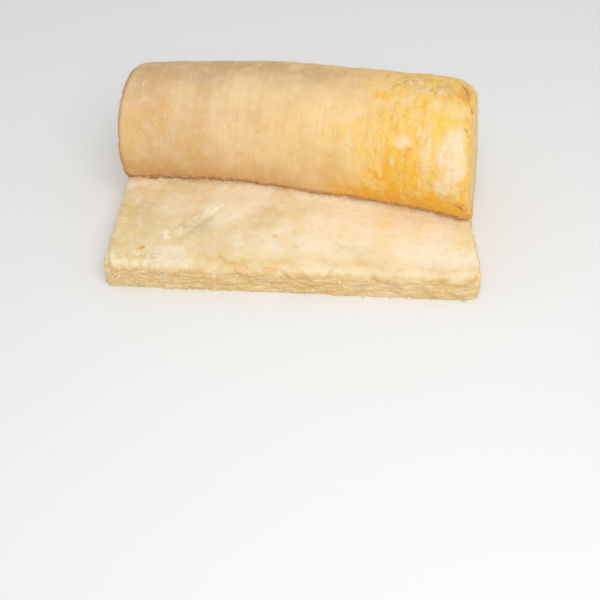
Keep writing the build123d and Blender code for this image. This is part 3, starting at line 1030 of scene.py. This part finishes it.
def surface(piece):
    """A piece's points, their normals and what is known of them."""
    mesh = piece.data
    points = np.array([vertex.co for vertex in mesh.vertices])
    normals = np.array([vertex.normal for vertex in mesh.vertices])
    facts = {}
    for attribute in mesh.attributes:
        if attribute.domain == "POINT" and attribute.data_type == "FLOAT":
            values = np.empty(len(points), np.float32)
            attribute.data.foreach_get("value", values)
            facts[attribute.name] = values
    return points, normals, facts


def tangents(normals, draw):
    """Two unit directions in the surface at each normal, the first one drawn at random."""
    first = draw.normal(size=normals.shape)
    first -= normals * np.einsum("ij,ij->i", first, normals)[:, None]
    first /= np.linalg.norm(first, axis=1)[:, None]
    return first, np.cross(normals, first)


# Places along a strand and how thick it is there, between its two pointed ends
STRAND_PLACES = np.array([0.0, 0.10, 0.38, 0.68, 0.90, 1.0])
STRAND_WIDTHS = np.array([0.8, 1.0, 0.8, 0.5])
ROOT_SPREAD = 0.001         # how far a strand's or a tuft's root lies from a point of the wool


def strand_shapes(roots, normals, settings, draw):
    """Thin curved strands, one for each root: their points, and the faces of one of them."""
    count = len(roots)
    ahead, aside = tangents(normals, draw)
    reach = settings.strand * draw.uniform(0.25, 1.0, (count, 1, 1))
    rise = draw.uniform(0.03, 0.40, (count, 1, 1))
    curl = draw.normal(0, 0.35, (count, 1, 1))
    ahead, aside, up = ahead[:, None], aside[:, None], normals[:, None]
    share = STRAND_PLACES[None, :, None]
    path = ahead * share + up * rise * np.sin(0.85 * np.pi * share) + aside * curl * share ** 2
    path = roots[:, None] + reach * path - up * settings.thickness
    thick = settings.thickness * draw.uniform(0.35, 1.0, (count, 1, 1, 1))
    thick = thick * STRAND_WIDTHS[None, :, None, None]
    spokes = np.radians([0, 120, 240])[None, None, :, None]
    round_it = aside[:, :, None] * np.cos(spokes) + up[:, :, None] * np.sin(spokes)
    rings = path[:, 1:-1, None] + thick * round_it
    points = np.concatenate([path[:, :1], rings.reshape(count, -1, 3), path[:, -1:]], axis=1)
    faces = []
    last = 3 * len(STRAND_WIDTHS) + 1
    for spoke in range(3):
        other = (spoke + 1) % 3
        faces.append((0, 1 + other, 1 + spoke))
        faces.append((last, last - 3 + spoke, last - 3 + other))
        for ring in range(1, last - 3, 3):
            faces.append((ring + spoke, ring + other, ring + 3 + other, ring + 3 + spoke))
    return points, faces


def tuft_shapes(roots, normals, settings, draw):
    """Small torn clumps, one for each root: their points, and the faces of one of them."""
    form = bmesh.new()
    bmesh.ops.create_icosphere(form, subdivisions=2, radius=1.0)
    ball = np.array([vertex.co for vertex in form.verts])
    faces = [[vertex.index for vertex in face.verts] for face in form.faces]
    form.free()
    count = len(roots)
    ahead, aside = tangents(normals, draw)
    size = settings.tuft * draw.uniform(0.3, 1.0, (count, 1, 3)) * (1.3, 0.9, 0.55)
    local = ball[None] * size
    points = roots[:, None] + local[..., :1] * ahead[:, None] + local[..., 1:2] * aside[:, None] \
        + local[..., 2:] * normals[:, None]
    lumps = Noise(53).layers(points.reshape(-1, 3) / 0.0055, 2).reshape(count, -1, 1)
    return roots[:, None] + (points - roots[:, None]) * (1 + 0.55 * lumps), faces


def add_loose_wool(name, piece, fraying, strands, tufts, settings, seed):
    """Adds strands and tufts to a piece, most where it frays most, in its own finish."""
    points, normals, facts = surface(piece)
    draw = np.random.default_rng(seed)
    frayed = fraying(facts)
    often = draw.choice(len(points), strands, p=frayed / frayed.sum())
    seldom = draw.choice(len(points), tufts, p=frayed ** 2 / (frayed ** 2).sum())
    chosen = np.concatenate([often, seldom])
    roots = points[chosen] + draw.normal(0, ROOT_SPREAD, (len(chosen), 3))
    groups = [
        (slice(0, strands), strand_shapes, 0.9),
        (slice(strands, strands + tufts), tuft_shapes, 0.8),
    ]
    all_points, all_faces, all_picks, all_loose = [], [], [], []
    start = 0
    for part, shapes, paleness in groups:
        shape, faces = shapes(roots[part], normals[chosen[part]], settings, draw)
        each = shape.shape[1]
        pale = paleness * draw.uniform(0.0, 1.0, len(shape))
        for copy in range(len(shape)):
            all_faces += [[corner + start + copy * each for corner in face] for face in faces]
        all_points.append(shape.reshape(-1, 3))
        all_picks.append(np.repeat(chosen[part], each))
        all_loose.append(np.repeat(pale, each))
        start += len(shape) * each
    picks = np.concatenate(all_picks)
    own = {fact: values[picks] for fact, values in facts.items()}
    own["loose"] = np.concatenate(all_loose)
    # The painted shade of the crease, the top, the folds and the cracks is weaker on pale strands.
    for fact in ("crease", "top", "fold", "crack"):
        own[fact] = own.get(fact, 0.0) * (1 - own["loose"])
    # Strands in the crease are less pale, so they keep its painted shade.
    own["loose"] *= 1 - 0.7 * (facts["crease"][picks] > 0.3)
    places = np.concatenate(all_points)
    places[:, 2] = np.maximum(places[:, 2], 0.0)
    make_piece(name, places, all_faces, own, piece.data.materials[0])


def roll_fraying(facts):
    """The roll frays most at the crease, at its ends, along its top and where the skin is torn."""
    across, angle = facts["across"], facts["angle"]
    top = swell(angle, 80, 14) * smooth(-0.34, -0.18, across) * (1 - smooth(-0.02, 0.12, across))
    crease = swell(angle, 218, 5) * (1 + 1.5 * swell(across, -0.35, 0.2))
    return 0.04 + 3.0 * crease * facts["skin"] + 0.6 * facts["rim"] + 1.0 * top + 0.15 * facts["torn"] \
        + 0.3 * swell(facts["seam"], 0.25, 0.2) * (1 - facts["skin"])


def run_fraying(facts):
    """The laid run frays most at the crease, along its front edge and at its front left corner."""
    along, level = facts["along"], facts["level"]
    crease = swell(along, 0.376, 0.008) * (level > 0.09) * (1 + 2 * swell(facts["across"], -0.35, 0.2))
    edge = swell(along, 0.0, 0.03) * swell(level, 0.09, 0.03)
    corner = edge * (1 - smooth(-0.45, -0.25, facts["across"]))
    foot = facts["cut"] * swell(level, 0.0, 0.012)
    return 0.04 + 2.0 * crease + 0.5 * edge + 3.0 * corner + 0.35 * facts["cut"] + 0.5 * foot \
        + 0.3 * facts["fluff"] * (1 - facts["cut"])


class WindRoll(bpy.types.Operator):
    """Builds the wound part of the blanket, with the spiral of its turns at both ends"""
    bl_idname = "wool.wind_roll"
    bl_label = "Wind the roll"

    def execute(self, context):
        scene = context.scene
        mesh = roll_mesh(scene.roll_sizes)
        add_dressed("wound_roll", mesh, dress_roll, rolled_wool(scene.wool_colours))
        return {"FINISHED"}


class LayRun(bpy.types.Operator):
    """Builds the part of the blanket that is laid out in front of the roll"""
    bl_idname = "wool.lay_run"
    bl_label = "Lay the run"

    def execute(self, context):
        scene = context.scene
        mesh = run_mesh(scene.roll_sizes, scene.run_sizes)
        add_dressed("laid_run", mesh, dress_run, laid_wool(scene.wool_colours))
        return {"FINISHED"}


class PullTufts(bpy.types.Operator):
    """Pulls strands and tufts out of the roll and the laid run"""
    bl_idname = "wool.pull_tufts"
    bl_label = "Pull the tufts"

    def execute(self, context):
        wool = context.scene.loose_wool
        roll, run = bpy.data.objects["wound_roll"], bpy.data.objects["laid_run"]
        add_loose_wool("roll_tufts", roll, roll_fraying, wool.roll_strands, wool.roll_tufts, wool, seed=61)
        add_loose_wool("run_tufts", run, run_fraying, wool.run_strands, wool.run_tufts, wool, seed=67)
        return {"FINISHED"}


class SetStage(bpy.types.Operator):
    """Makes the floor, the soft light and the camera"""
    bl_idname = "wool.set_stage"
    bl_label = "Set the stage"

    def execute(self, context):
        scene = context.scene
        stage = scene.stage_settings
        half = stage.floor_size / 2
        corners = [(-half, -half, 0), (half, -half, 0), (half, half, 0), (-half, half, 0)]
        mesh = bpy.data.meshes.new("floor")
        mesh.from_pydata(corners, [], [(0, 1, 2, 3)])
        paint = Paint("plain_floor", 0.9)
        paint.shader.inputs["Sheen Weight"].default_value = 0.0
        mesh.materials.append(paint.finish(stage.floor))
        floor = bpy.data.objects.new("floor", mesh)
        floor.location.z = -FLOOR_GAP
        scene.collection.objects.link(floor)

        lamp = bpy.data.lights.new("key", "AREA")
        lamp.shape = "DISK"
        lamp.size = LAMP_SIZE
        lamp.energy = stage.key_power
        key = bpy.data.objects.new("key", lamp)
        key.location = LAMP_PLACE
        key.rotation_euler = (Vector(LAMP_AIM) - key.location).to_track_quat("-Z", "Y").to_euler()
        scene.collection.objects.link(key)

        world = bpy.data.worlds.new("soft_light")
        world.use_nodes = True
        background = world.node_tree.nodes["Background"]
        background.inputs["Color"].default_value = SKY
        background.inputs["Strength"].default_value = stage.fill
        scene.world = world

        lens = bpy.data.cameras.new("camera")
        lens.lens = LENS
        lens.sensor_width = SENSOR
        lens.clip_start, lens.clip_end = 0.05, 60.0
        camera = bpy.data.objects.new("camera", lens)
        camera.matrix_world = camera_pose(CAMERA_PLACE, *CAMERA_TURNS)
        scene.collection.objects.link(camera)
        scene.camera = camera
        scene.view_settings.view_transform = "Standard"
        return {"FINISHED"}


def camera_pose(place, down, left, tilt):
    """The camera's matrix, from where it stands and how far it is turned each way, in degrees."""
    turned = Matrix.Rotation(math.radians(left), 4, "Z") @ Matrix.Rotation(math.radians(90 - down), 4, "X")
    return Matrix.Translation(place) @ turned @ Matrix.Rotation(math.radians(tilt), 4, "Z")


class WoolPanel(bpy.types.Panel):
    """Lists the sizes, the colours and the steps that build the roll"""
    bl_idname = "WOOL_PT_roll"
    bl_label = "Glass wool roll"
    bl_space_type = "VIEW_3D"
    bl_region_type = "UI"
    bl_category = "Wool"

    def draw(self, context):
        for operator in OPERATORS:
            self.layout.operator(operator.bl_idname)
        for name, group in GROUPS.items():
            box = self.layout.box()
            box.label(text=group.__doc__)
            for prop in group.__annotations__:
                box.prop(getattr(context.scene, name), prop)


GROUPS = {
    "roll_sizes": RollSizes,
    "run_sizes": RunSizes,
    "loose_wool": LooseWool,
    "wool_colours": WoolColours,
    "stage_settings": StageSettings,
}
OPERATORS = (WindRoll, LayRun, PullTufts, SetStage)


def register():
    """Adds the operators, the panel and the settings of the scene."""
    for group in (*GROUPS.values(), *OPERATORS, WoolPanel):
        bpy.utils.register_class(group)
    for name, group in GROUPS.items():
        setattr(bpy.types.Scene, name, PointerProperty(type=group))


def unregister():
    """Takes them away again."""
    for name in GROUPS:
        delattr(bpy.types.Scene, name)
    for group in (WoolPanel, *reversed(OPERATORS), *reversed(GROUPS.values())):
        bpy.utils.unregister_class(group)


def main():
    """Builds the whole scene."""
    register()
    bpy.ops.wool.wind_roll()
    bpy.ops.wool.lay_run()
    bpy.ops.wool.pull_tufts()
    bpy.ops.wool.set_stage()


if __name__ == "__main__":
    main()
